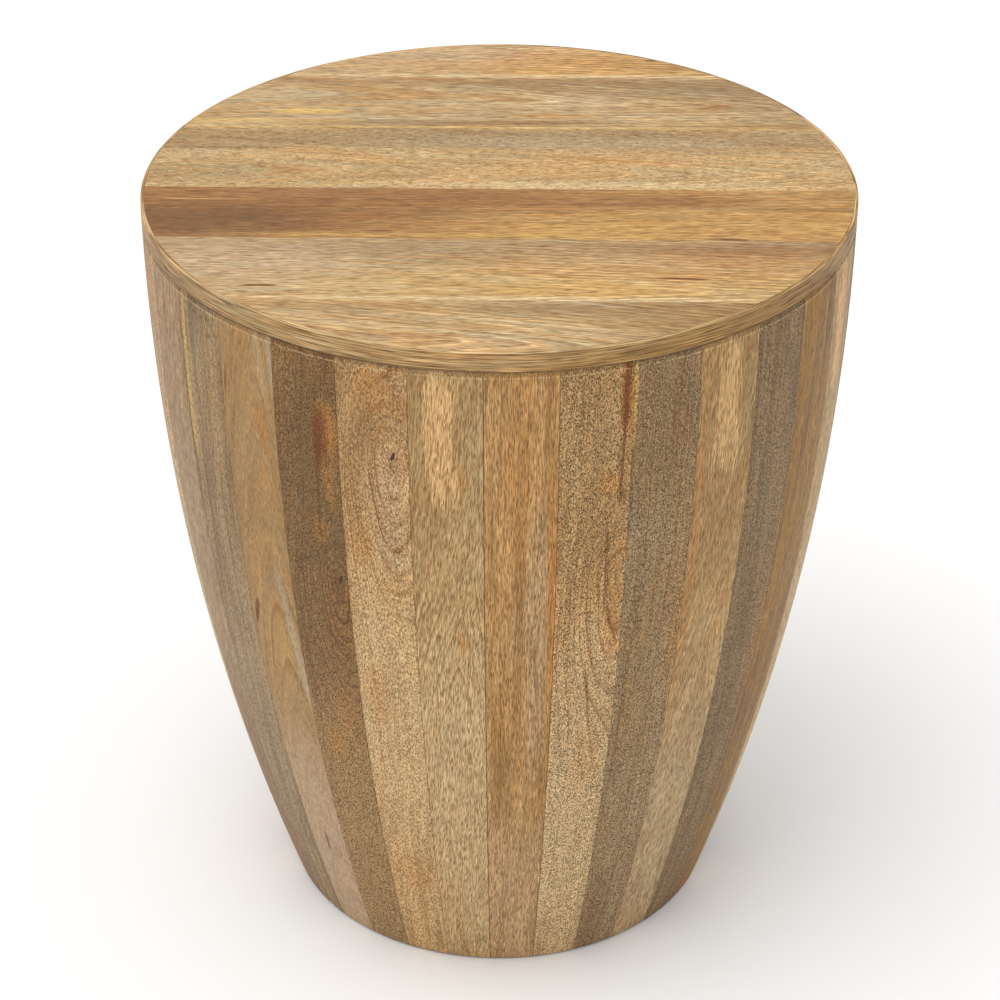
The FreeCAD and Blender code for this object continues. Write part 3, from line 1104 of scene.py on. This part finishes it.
staveLooks = {
    "stave_27": {
        **streaky, "tones": ("pinkGrey", "greyBrown", "honey", "deepTan"), "contrast": 4, "warmth": 0.5,
        "seed": 11,
        # the brown patch low on this stave is painted shade at the foot of the wall's left outline
        "patches": ((0, 60, 30, 130, 0.6, 0.1, "brown", 0.65),),
    },
    "stave_28": {
        **speckled, "tones": ("coolBrown", "darkGrey", "tan", "darkGrey"), "seed": 23, "balance": 0.52,
        "strokes": (0.75, 3, 0.8), "pores": (0.95, 2.5, 0.7, 0.6),
        "patches": (
            (0, 150, 40, 110, 0.8, 0.2, "paleGrey", 0.15),
            (10, 420, 10, 60, 0.8, 0.4, "tan", 0.4),
        ),
        "spots": (
            (-17.5, 440, 2.4, 60, 0.4, 0.3, "yellow", 0.6),
            (-12.5, 400, 1.5, 80, 0.6, 0.4, "honey", 0.4),
        ),
    },
    "stave_29": {
        "tones": ("tan", "deepTan", "honey", "goldBrown"), "balance": 0.45, "contrast": 2.2, "seed": 37,
        "peak": (5.5, 271), "roundness": 11, "taper": 0.14, "lines": (6, 1.5, 0.4),
        "strokes": (0.75, 5, 0.6), "pores": (1, 3, 0.6, 0.25), "wander": 2,
        "focus": (285, 60),
        "patches": (
            (0, 80, 30, 110, 0.7, 0.2, "rosyGrey", 0.7),
            (-8, 300, 6, 40, 0.8, 0.3, "honey", 0.35),
            (4, 255, 5, 30, 0.7, 0.3, "honey", 0.4),
            (5, 296, 4, 7, 0.7, 0.3, "orange", 0.45),
        ),
        "spots": (
            (12, 478, 2.2, 24, 0.8, 0.4, "paleGrey", 0.35, -0.13),
            (20, 482, 2, 22, 0.7, 0.4, "paleGrey", 0.5, -0.05),
            (15.5, 268, 3.2, 60, 0.6, 0.3, "paleGrey", 0.55, -0.1),
            (11.5, 430, 3, 18, 0.6, 0.4, "orange", 0.35),
            (8, 400, 2, 12, 0.6, 0.4, "orange", 0.4),
            (-15.5, 285, 1.6, 10, 0.6, 0.4, "rust", 1, 0.2),
            (-15.8, 283, 0.8, 6, 0.4, 0.3, "darkRed", 0.8, 0.2),
            (-19, 455, 1.2, 10, 0.5, 0.4, "rust", 0.7, 0.1),
            (-0.5, 87, 1.3, 9, 0.4, 0.3, "darkRed", 0.75, 0.05),
        ),
    },
    "stave_30": {
        **speckled, "tones": ("deepTan", "brown", "goldBrown", "umber"), "balance": 0.55, "seed": 41,
        "contrast": 3.4, "knot": (16, 337, 38), "lines": (3.7, 1.1, 0.2), "focus": (295, 75),
        "patches": (
            (0, 75, 40, 160, 0.7, 0.3, "tan", 0.88),
            (6, 410, 14, 70, 0.8, 0.4, "olive", 0.35),
            (12, 300, 9, 50, 0.7, 0.4, "redBrown", 0.25),
            (6, 372, 5, 9, 0.8, 0.6, "orange", 0.35),
            (14, 446, 5.5, 17, 0.7, 0.5, "orange", 0.85),
            (14, 415, 4, 22, 0.7, 0.5, "orange", 0.4),
            (-3, 195, 7, 12, 0.7, 0.5, "orange", 0.45),
            (8, 225, 8, 25, 0.8, 0.5, "orange", 0.3),
        ),
        "spots": (
            (10, 440, 4.8, 19, 0.6, 0.4, "rust", 0.9, 0.05),
            (8.4, 438, 2.6, 17, 0.6, 0.5, "darkRed", 0.8, 0.03),
            (6.3, 408, 0.8, 34, 0.6, 0.4, "darkRed", 0.75, 0.03),
            (6, 370, 1.3, 3, 0.6, 0.4, "rust", 0.8),
            (16.5, 338, 1.1, 3.2, 0.3, 0.1, "umber", 1, 0.25),
        ),
    },
    "stave_31": {
        **speckled, "tones": ("warmStraw", "tan", "orange", "redBrown"), "balance": 0.4, "seed": 59,
        "knot": (12.4, 436, 42), "lines": (5.3, 1.1, 0.12), "focus": (385, 80),
        "strokes": (0.75, 2.2, 1.1), "pores": (0.95, 1.8, 0.8, 0.75), "poreTone": "deepBrown",
        "patches": (
            (8, 475, 20, 45, 0.8, 0.4, "redBrown", 0.3),
            (-12, 440, 10, 60, 0.8, 0.3, "deepTan", 0.4),
            (8, 400, 9, 44, 0.7, 0.3, "pinkGrey", 0.45),
            (0, 215, 26, 110, 0.7, 0.5, "paleStraw", 0.5),
            (-8, 250, 8, 24, 0.7, 0.5, "orange", 0.35),
            (-10, 370, 5, 14, 0.7, 0.5, "orange", 0.35),
            (2, 90, 12, 18, 0.7, 0.5, "orange", 0.3),
            (0, 480, 8, 12, 0.7, 0.5, "orange", 0.35),
        ),
        "spots": ((12.4, 436, 1.1, 3.2, 0.3, 0.1, "umber", 1, 0.25),),
    },
    "stave_32": {
        **streaky, "tones": ("straw", "tan", "honey", "goldBrown"), "balance": 0.42, "seed": 67,
        "peak": (7.4, 310), "roundness": 2, "taper": 0.2, "lines": (4, 1.3, 0.2),
        "contrast": 3.4, "focus": (300, 50), "glueLine": 0.6, "slant": -0.08,
        "patches": (
            (0, 440, 40, 60, 0.8, 0.2, "deepTan", 0.22),
            (0, 170, 40, 130, 0.8, 0.2, "paleStraw", 0.45),
        ),
        "spots": (
            (-3.5, 450, 8, 44, 0.06, 0.9, "peach", 0.9),
            (5, 420, 2.5, 16, 0.1, 0.9, "peach", 0.8),
            (9.5, 425, 2, 12, 0.5, 0.5, "orange", 0.4),
            (7.5, 303, 2, 9, 0.6, 0.4, "orange", 0.5),
        ),
    },
    "stave_01": {
        **streaky, "tones": ("paleHoney", "goldBrown", "orange", "deepTan"), "balance": 0.42, "contrast": 3.4,
        "seed": 73, "peak": (70, 250), "taper": 0.02, "lines": (5, 0.5, 0.1), "glueLine": 0.8,
        "hueDrift": 0.4,
        "patches": (
            (-9, 182, 7, 42, 0.5, 0.5, "goldBrown", 0.7),
            (2, 430, 13, 60, 0.8, 0.4, "orange", 0.3),
            (10, 300, 6, 100, 0.8, 0.3, "rosyGrey", 0.35),
            (0, 300, 3, 90, 0.6, 0.4, "redBrown", 0.3),
            (0, 60, 40, 80, 0.8, 0.2, "rosyGrey", 0.35),
        ),
        "spots": ((18.8, 330, 1.8, 80, 0.4, 0.3, "orange", 0.85),),
    },
    "stave_02": {
        **speckled, "tones": ("warmStraw", "tan", "orange", "redBrown"), "balance": 0.42, "seed": 83,
        "knot": (19, 352, 44), "lines": (7.8, 0.8, 0.1), "focus": (290, 110),
        "strokes": (0.7, 1.5, 1.4), "pores": (0.85, 1.6, 0.9, 0.95),
        "patches": (
            (0, 440, 34, 100, 0.8, 0.3, "deepTan", 0.5),
            (0, 130, 34, 140, 0.7, 0.3, "paleStraw", 0.7),
            (10, 417, 7, 8, 0.7, 0.5, "orange", 0.6),
            (16, 340, 5, 50, 0.8, 0.5, "orange", 0.35),
            (4, 200, 9, 26, 0.8, 0.5, "orange", 0.3),
        ),
        "spots": (
            (18.2, 478, 3.9, 27, 0.6, 0.5, "orange", 0.85),
            (17.8, 480, 2.6, 25, 0.6, 0.5, "rust", 0.8, 0.02),
            (17.6, 476, 1.3, 24, 0.6, 0.5, "darkRed", 0.7, 0.02),
            (16.5, 432, 0.8, 26, 0.5, 0.4, "darkRed", 0.7, 0.03),
            (17, 408, 2.2, 3, 0.5, 0.4, "darkRed", 0.6),
            (9, 350, 0.8, 36, 0.5, 0.4, "redBrown", 0.7),
            (2, 258, 0.9, 26, 0.5, 0.4, "redBrown", 0.7, -0.1),
            (15.5, 306, 1, 10, 0.5, 0.4, "redBrown", 0.7, -0.35),
        ),
    },
    "stave_03": {
        **speckled, "tones": ("coolBrown", "greyBrown", "deepTan", "umber"), "balance": 0.4, "seed": 97,
        "patches": (
            (6, 450, 30, 50, 0.8, 0.3, "brown", 0.4),
            (15, 330, 6, 90, 0.8, 0.3, "tan", 0.5),
            (18, 300, 3, 30, 0.8, 0.5, "orange", 0.4),
            (-8, 40, 8, 40, 0.8, 0.5, "brown", 0.5),
        ),
        "spots": ((-21, 470, 1.3, 32, 0.6, 0.4, "gold", 0.8),),
    },
    "stave_04": {
        **streaky, "tones": ("straw", "tan", "honey", "goldBrown"), "balance": 0.6, "contrast": 3.4,
        "seed": 103, "peak": (12.7, 310), "roundness": 2, "taper": 0.2, "lines": (4, 1.3, 0.2),
        "focus": (300, 50), "slant": -0.08,
        "patches": (
            (0, 430, 40, 90, 0.8, 0.2, "deepTan", 0.4),
            (0, 110, 40, 110, 0.8, 0.2, "paleGrey", 0.4),
            (-17, 350, 3, 150, 0.7, 0.4, "orange", 0.35),
        ),
        "spots": (
            (-0.5, 450, 8, 44, 0.06, 0.9, "peach", 0.7),
            (8, 420, 2.5, 16, 0.1, 0.9, "peach", 0.6),
            (12.7, 303, 2, 9, 0.6, 0.4, "orange", 0.5),
        ),
    },
    "stave_05": {
        **speckled, "tones": ("greyBrown", "darkGrey", "deepTan", "umber"), "balance": 0.5, "seed": 109,
        "patches": (
            (15, 300, 6, 100, 0.8, 0.4, "tan", 0.4),
            (17, 230, 4, 60, 0.8, 0.5, "orange", 0.3),
        ),
    },
    "stave_06": {
        **streaky, "tones": ("deepGold", "brown", "honey", "brown"), "contrast": 5, "seed": 127,
        "balance": 0.4,
    },
}

# The planks, seen from above: across is Y, along is X

plankGrain = {
    "strokes": (0.9, 16, 1), "pores": (1.05, 8, 0.7, 0.48), "contrast": 4.5, "wander": 1.6,
    "hueDrift": 0.9, "poreTone": "deepBrown",
}

plankLooks = {
    "top_plank_1": {
        **plankGrain, "tones": ("softStraw", "tan", "honey", "brown"), "seed": 211, "contrast": 4,
        "balance": 0.42, "peak": (-240, 330), "taper": 0.12, "slant": 0.08, "lines": (4.5, 0.4, 0.7),
        "patches": (
            (-170, -60, 6, 150, 0.8, 0.4, "goldBrown", 0.5),
            (-172, 90, 9, 80, 0.8, 0.3, "darkGrey", 0.5),
            (-190, 165, 40, 90, 0.8, 0.2, "deepTan", 0.9),
            (-205, -60, 3, 50, 0.7, 0.5, "redBrown", 0.3),
        ),
        "spots": (
            (-193, 46, 1, 52, 0.6, 0.3, "paleStraw", 0.7, -0.18),
            (-198.5, 30, 0.9, 46, 0.6, 0.3, "paleStraw", 0.6, -0.27),
            (-189, 60, 0.7, 60, 0.6, 0.3, "deepTan", 0.6, -0.16),
        ),
    },
    "top_plank_2": {
        **plankGrain, "tones": ("softStraw", "tan", "honey", "brown"), "seed": 223,
        "balance": 0.5, "peak": (-149, 132), "roundness": 3, "taper": 0.066, "lines": (3.6, 0.9, 0.7),
        "focus": (90, 120),
        "patches": (
            (-93, 0, 12, 300, 0.7, 0.4, "greyBrown", 0.65),
            (-93, 165, 11, 60, 0.7, 0.3, "redBrown", 0.4),
            (-115, -160, 30, 70, 0.8, 0.3, "rosyGrey", 0.55),
            (-140, 30, 16, 170, 0.8, 0.4, "yellow", 0.25),
            (-118, 120, 18, 100, 0.8, 0.3, "orange", 0.3),
            (-150, 60, 7, 75, 0.6, 0.2, "gold", 0.45),
            (-158.5, 0, 2.6, 170, 0.5, 0.3, "paleStraw", 0.8),
        ),
        "spots": (
            (-144, -139, 1.3, 10, 0.4, 0.3, "darkRed", 0.95),
            (-131.5, 110, 1.3, 16, 0.4, 0.3, "darkRed", 0.95, -0.03),
        ),
    },
    "top_plank_3": {
        **plankGrain, "tones": ("honey", "goldBrown", "gold", "brown"), "seed": 227, "balance": 0.4,
        "patches": (
            (-40, -200, 60, 200, 0.8, 0.3, "rust", 0.62),
            (-25, 40, 12, 110, 0.8, 0.4, "redBrown", 0.5),
            (-58, -185, 20, 70, 0.7, 0.4, "deepBrown", 0.6),
            (-62, 100, 14, 120, 0.8, 0.4, "gold", 0.4),
            (-76, -40, 3, 110, 0.7, 0.5, "yellow", 0.4),
        ),
        "spots": (
            (-79.2, 144, 1.3, 9, 0.4, 0.3, "darkRed", 0.9, -0.03),
            (-70.5, -72, 1.2, 9, 0.5, 0.4, "darkRed", 0.7),
            (-27, -185, 0.8, 22, 0.5, 0.4, "peach", 0.5),
        ),
    },
    "top_plank_4": {
        **plankGrain, "tones": ("straw", "tan", "paleHoney", "greyBrown"), "seed": 229,
        "balance": 0.38, "peak": (14, 215), "taper": 0.1, "lines": (4, 0.6, 0.3), "wander": 5,
        "pores": (1.3, 3, 0.8, 0.5), "strokes": (1, 8, 0.9), "focus": (150, 90),
        "patches": (
            (66, 0, 16, 300, 0.6, 0.3, "darkGrey", 0.5),
            (60, 40, 9, 120, 0.7, 0.3, "paleGrey", 0.35),
            (50, -190, 2.5, 45, 0.6, 0.5, "darkGrey", 0.6),
            (12, -190, 12, 60, 0.8, 0.4, "darkGrey", 0.35),
            (35, 80, 8, 45, 0.7, 0.5, "orange", 0.35),
            (15, 20, 7, 40, 0.7, 0.5, "gold", 0.4),
            (-4, 60, 5, 130, 0.7, 0.3, "paleStraw", 0.6),
        ),
    },
    "top_plank_5": {
        **plankGrain, "tones": ("softStraw", "tan", "honey", "brown"), "seed": 233, "contrast": 4,
        "balance": 0.45, "peak": (121, 146), "roundness": 4, "taper": 0.09, "slant": 0.06,
        "lines": (4.5, 0.5, 0.7), "focus": (90, 110),
        "patches": (
            (158, -40, 7, 140, 0.7, 0.4, "redBrown", 0.3),
            (150, 110, 15, 110, 0.7, 0.3, "darkGrey", 0.5),
            (140, 190, 40, 70, 0.8, 0.3, "darkGrey", 0.35),
            (91, -40, 4, 110, 0.7, 0.5, "brown", 0.55),
            (88, 170, 4, 70, 0.7, 0.5, "goldBrown", 0.6),
            (119, 140, 4, 12, 0.7, 0.4, "redBrown", 0.4),
        ),
        "spots": (
            (108.5, -129, 4.4, 23, 0.6, 0.5, "yellow", 0.8),
            (92, -160, 3.5, 60, 0.8, 0.6, "yellow", 0.4),
            (83.3, -40, 1.2, 230, 0.7, 0.4, "yellow", 0.6),
            (136.5, 28, 1.1, 36, 0.6, 0.3, "paleStraw", 0.75, -0.24),
            (127.3, 100, 1, 42, 0.6, 0.3, "paleStraw", 0.6, -0.03),
            (129, 40, 0.9, 50, 0.6, 0.3, "paleStraw", 0.6, -0.27),
            (133, 52, 0.7, 60, 0.6, 0.3, "deepTan", 0.6, -0.22),
            (124.5, 158, 0.8, 20, 0.6, 0.3, "paleStraw", 0.5, -0.2),
            (118.5, 140, 1.2, 9, 0.6, 0.4, "redBrown", 0.6, 0.3),
        ),
    },
    "top_plank_6": {
        **plankGrain, "tones": ("warmStraw", "tan", "honey", "brown"), "balance": 0.45, "seed": 239,
        "peak": (176, 134), "roundness": 4, "taper": 0.066, "lines": (3.6, 0.9, 0.7),
        "focus": (90, 120),
        "patches": (
            (200, -80, 30, 100, 0.8, 0.3, "rosyGrey", 0.45),
            (185, -10, 10, 120, 0.8, 0.4, "gold", 0.25),
            (195, 115, 30, 55, 0.8, 0.3, "deepTan", 0.35),
            (190, 50, 20, 60, 0.8, 0.3, "orange", 0.4),
            (176, 60, 4, 75, 0.6, 0.2, "gold", 0.4),
            (169, 0, 2.6, 170, 0.5, 0.3, "paleStraw", 0.75),
        ),
        "spots": ((197, 103, 1.1, 7, 0.4, 0.2, "umber", 0.8),),
    },
}

# The strip round the rim, and the plain boards inside

everywhere = 9999                     # a half length past both ends of any board
bandLook = {
    "tones": ("straw", "tan", "orange", "brown"), "balance": 0.62, "contrast": 4, "warmth": 0.4,
    "seed": 251, "peak": (600, 0), "taper": 0, "lines": (1.8, 1.2, 0.1), "wander": 1.2,
    "strokes": (0.6, 40, 1.6), "pores": (0.7, 16, 0.7, 0.6), "focus": (0, everywhere),
    "patches": (
        (503, -230, 12, 60, 0.8, 0.2, "greyBrown", 0.45),
        (503, -20, 12, 90, 0.8, 0.2, "warmStraw", 0.18),
        (503, 150, 12, 110, 0.8, 0.2, "deepGold", 0.5),
        (503, 240, 12, 60, 0.8, 0.2, "brown", 0.3),
    ),
    "spots": (
        # a painted highlight: a pale line along the top arris, round the front of the rim
        (509.5, 0, 0.45, 240, 0.5, 0, "paleStraw", 0.55),
        # a painted shadow line all round the band's lower edge, over the groove
        (497, 0, 0.7, everywhere, 0.4, 0, "umber", 0.6),
    ),
}
innerLook = {
    "tones": ("straw", "tan", "orange", "deepTan"), "contrast": 2.4, "seed": 263,
    "peak": (400, 0), "focus": (0, everywhere),
}


# Every board in its own wood

variety = {"staveStride": 5, "staveSeedStep": 7.3, "innerSeedStep": 9.1}


def dressWood(staves, planks, band, inner):
    shown = sorted(staveLooks)
    for node, piece in staves.items():
        staveNumber = int(node[-2:])
        look = staveLooks.get(node)
        if look is None:
            # staves out of sight take the looks in another order, with their own figure
            look = dict(staveLooks[shown[(staveNumber * variety["staveStride"]) % len(shown)]])
            look["seed"] += variety["staveSeedStep"] * staveNumber
        dress(piece, boardMaterial("wood_" + node, look, stavePlace(staveNumber), staveGlueLineAndGrooveShade))
    for node, piece in planks.items():
        dress(piece, boardMaterial("wood_" + node, plankLooks[node], plankPlace))
    dress(band, boardMaterial("wood_edge_band", bandLook, bandPlace))
    for index, (node, piece) in enumerate(sorted(inner.items())):
        look = {**innerLook, "seed": innerLook["seed"] + variety["innerSeedStep"] * index}
        dress(piece, boardMaterial("wood_" + node, look, innerPlace(node)))
    print("wood dressed:", len(bpy.data.materials), "materials")


# Steel and felt

steel = {
    "light": (0.55, 0.53, 0.48, 1),
    "dark": (0.38, 0.37, 0.35, 1),
    "cloud": ((900.0, 900.0, 900.0), 3.0),
    "roughness": 0.28,
    "dullness": 0.25,
}
felt = {
    "dark": (0.018, 0.010, 0.006, 1),
    "light": (0.07, 0.042, 0.026, 1),
    "worn": (0.03, 0.02, 0.015, 1),
    "fuzz": ((2600.0, 2600.0, 2600.0), 4.0, 0.7),
    "cloud": ((300.0, 300.0, 300.0),),
    "wear": 0.4,
    "roughness": 0.95,
    "sheen": 0.15,
    "sheenTint": (0.35, 0.25, 0.18, 1),
    "relief": 0.8,
    "reliefDepth": 0.2 * millimetre,
}


def steelMaterial():
    material, tree = newMaterial("zinc_steel")
    source = addNode(tree, "TexCoord").outputs["Object"]
    cloud = noise(tree, source, *steel["cloud"])
    addShader(tree, {
        "Base Color": blend(tree, cloud, steel["light"], steel["dark"]),
        "Roughness": timesPlus(tree, cloud, steel["dullness"], steel["roughness"]),
        "Metallic": 1.0,
    })
    return material


def feltMaterial():
    material, tree = newMaterial("brown_felt")
    source = addNode(tree, "TexCoord").outputs["Object"]
    fuzz = noise(tree, source, *felt["fuzz"])
    worn = times(tree, noise(tree, source, *felt["cloud"]), felt["wear"])
    tone = blend(tree, fuzz, felt["dark"], felt["light"])
    addShader(tree, {
        "Base Color": blend(tree, worn, tone, felt["worn"]),
        "Roughness": felt["roughness"],
        "Sheen Weight": felt["sheen"],
        "Sheen Tint": felt["sheenTint"],
        "Normal": relief(tree, fuzz, felt["relief"], felt["reliefDepth"]),
    })
    return material


# The camera at the photo's angle

cameraPlace = {
    "location": (0.02912, -1.66836, 1.29357),
    "pitchDown": 31.386,
    "turn": 1.0,
    "lens": 104.79,
    "sensor": 36,
    "shiftX": 0.0007,
    "nearest": 0.01,
    "farthest": 50,
}


def buildCamera():
    data = bpy.data.cameras.new("camera")
    camera = bpy.data.objects.new("camera", data)
    bpy.context.collection.objects.link(camera)
    camera.location = cameraPlace["location"]
    camera.rotation_euler = (
        math.radians(90 - cameraPlace["pitchDown"]), 0, math.radians(cameraPlace["turn"])
    )
    data.sensor_width = cameraPlace["sensor"]
    data.lens = cameraPlace["lens"]
    data.shift_x = cameraPlace["shiftX"]
    data.clip_start = cameraPlace["nearest"]
    data.clip_end = cameraPlace["farthest"]
    bpy.context.scene.camera = camera


# The pale floor and the soft studio light

studio = {
    "floorSize": 40.0,
    "floorTone": (0.9, 0.9, 0.9, 1),
    "floorRoughness": 0.9,
    "skyTone": (1.0, 1.0, 1.0, 1),
    "skyAtHorizon": 0.45,
    "skyOverhead": 1.12,
    "skyRise": (0.0, 0.8),
    "lamp": {
        "place": (-1.6, -1.2, 5.6),
        "aim": (0, 0, 0.3),
        "width": 4.0,
        "power": 115.0,
        "tone": (1.0, 0.995, 0.985),
    },
}


def buildStudio():
    clearSelection()
    bpy.ops.mesh.primitive_plane_add(size=studio["floorSize"])
    floor = bpy.context.object
    floor.name = "floor"
    material, tree = newMaterial("pale_floor")
    addShader(tree, {"Base Color": studio["floorTone"], "Roughness": studio["floorRoughness"]})
    dress(floor, material)

    # a white sky, brighter overhead
    world = bpy.data.worlds.new("studio")
    bpy.context.scene.world = world
    world.use_nodes = True
    tree = world.node_tree
    sky = tree.nodes["Background"]
    sky.inputs["Color"].default_value = studio["skyTone"]
    direction = addNode(tree, "TexCoord").outputs["Generated"]
    overhead = ramp(tree, split(tree, direction)[2], *studio["skyRise"])
    rise = studio["skyOverhead"] - studio["skyAtHorizon"]
    feed(tree, sky.inputs["Strength"], timesPlus(tree, overhead, rise, studio["skyAtHorizon"]))

    lamp = studio["lamp"]
    data = bpy.data.lights.new("softbox1", "AREA")
    data.shape = "DISK"
    data.size = lamp["width"]
    data.energy = lamp["power"]
    data.color = lamp["tone"]
    softbox = bpy.data.objects.new(data.name, data)
    bpy.context.collection.objects.link(softbox)
    softbox.location = lamp["place"]
    toAim = Vector(lamp["aim"]) - Vector(lamp["place"])
    softbox.rotation_euler = toAim.to_track_quat("-Z", "Y").to_euler()
    bpy.context.scene.view_settings.view_transform = "Standard"
    print("studio set")


buildCamera()
staves = buildStaves()
planks = buildPlanks()
band = buildEdgeBand()
inner = buildInnerPieces()
screws = buildScrews()
pads = buildPads()
dressWood(staves, planks, band, inner)
dress(screws, steelMaterial())
dress(pads, feltMaterial())
buildStudio()
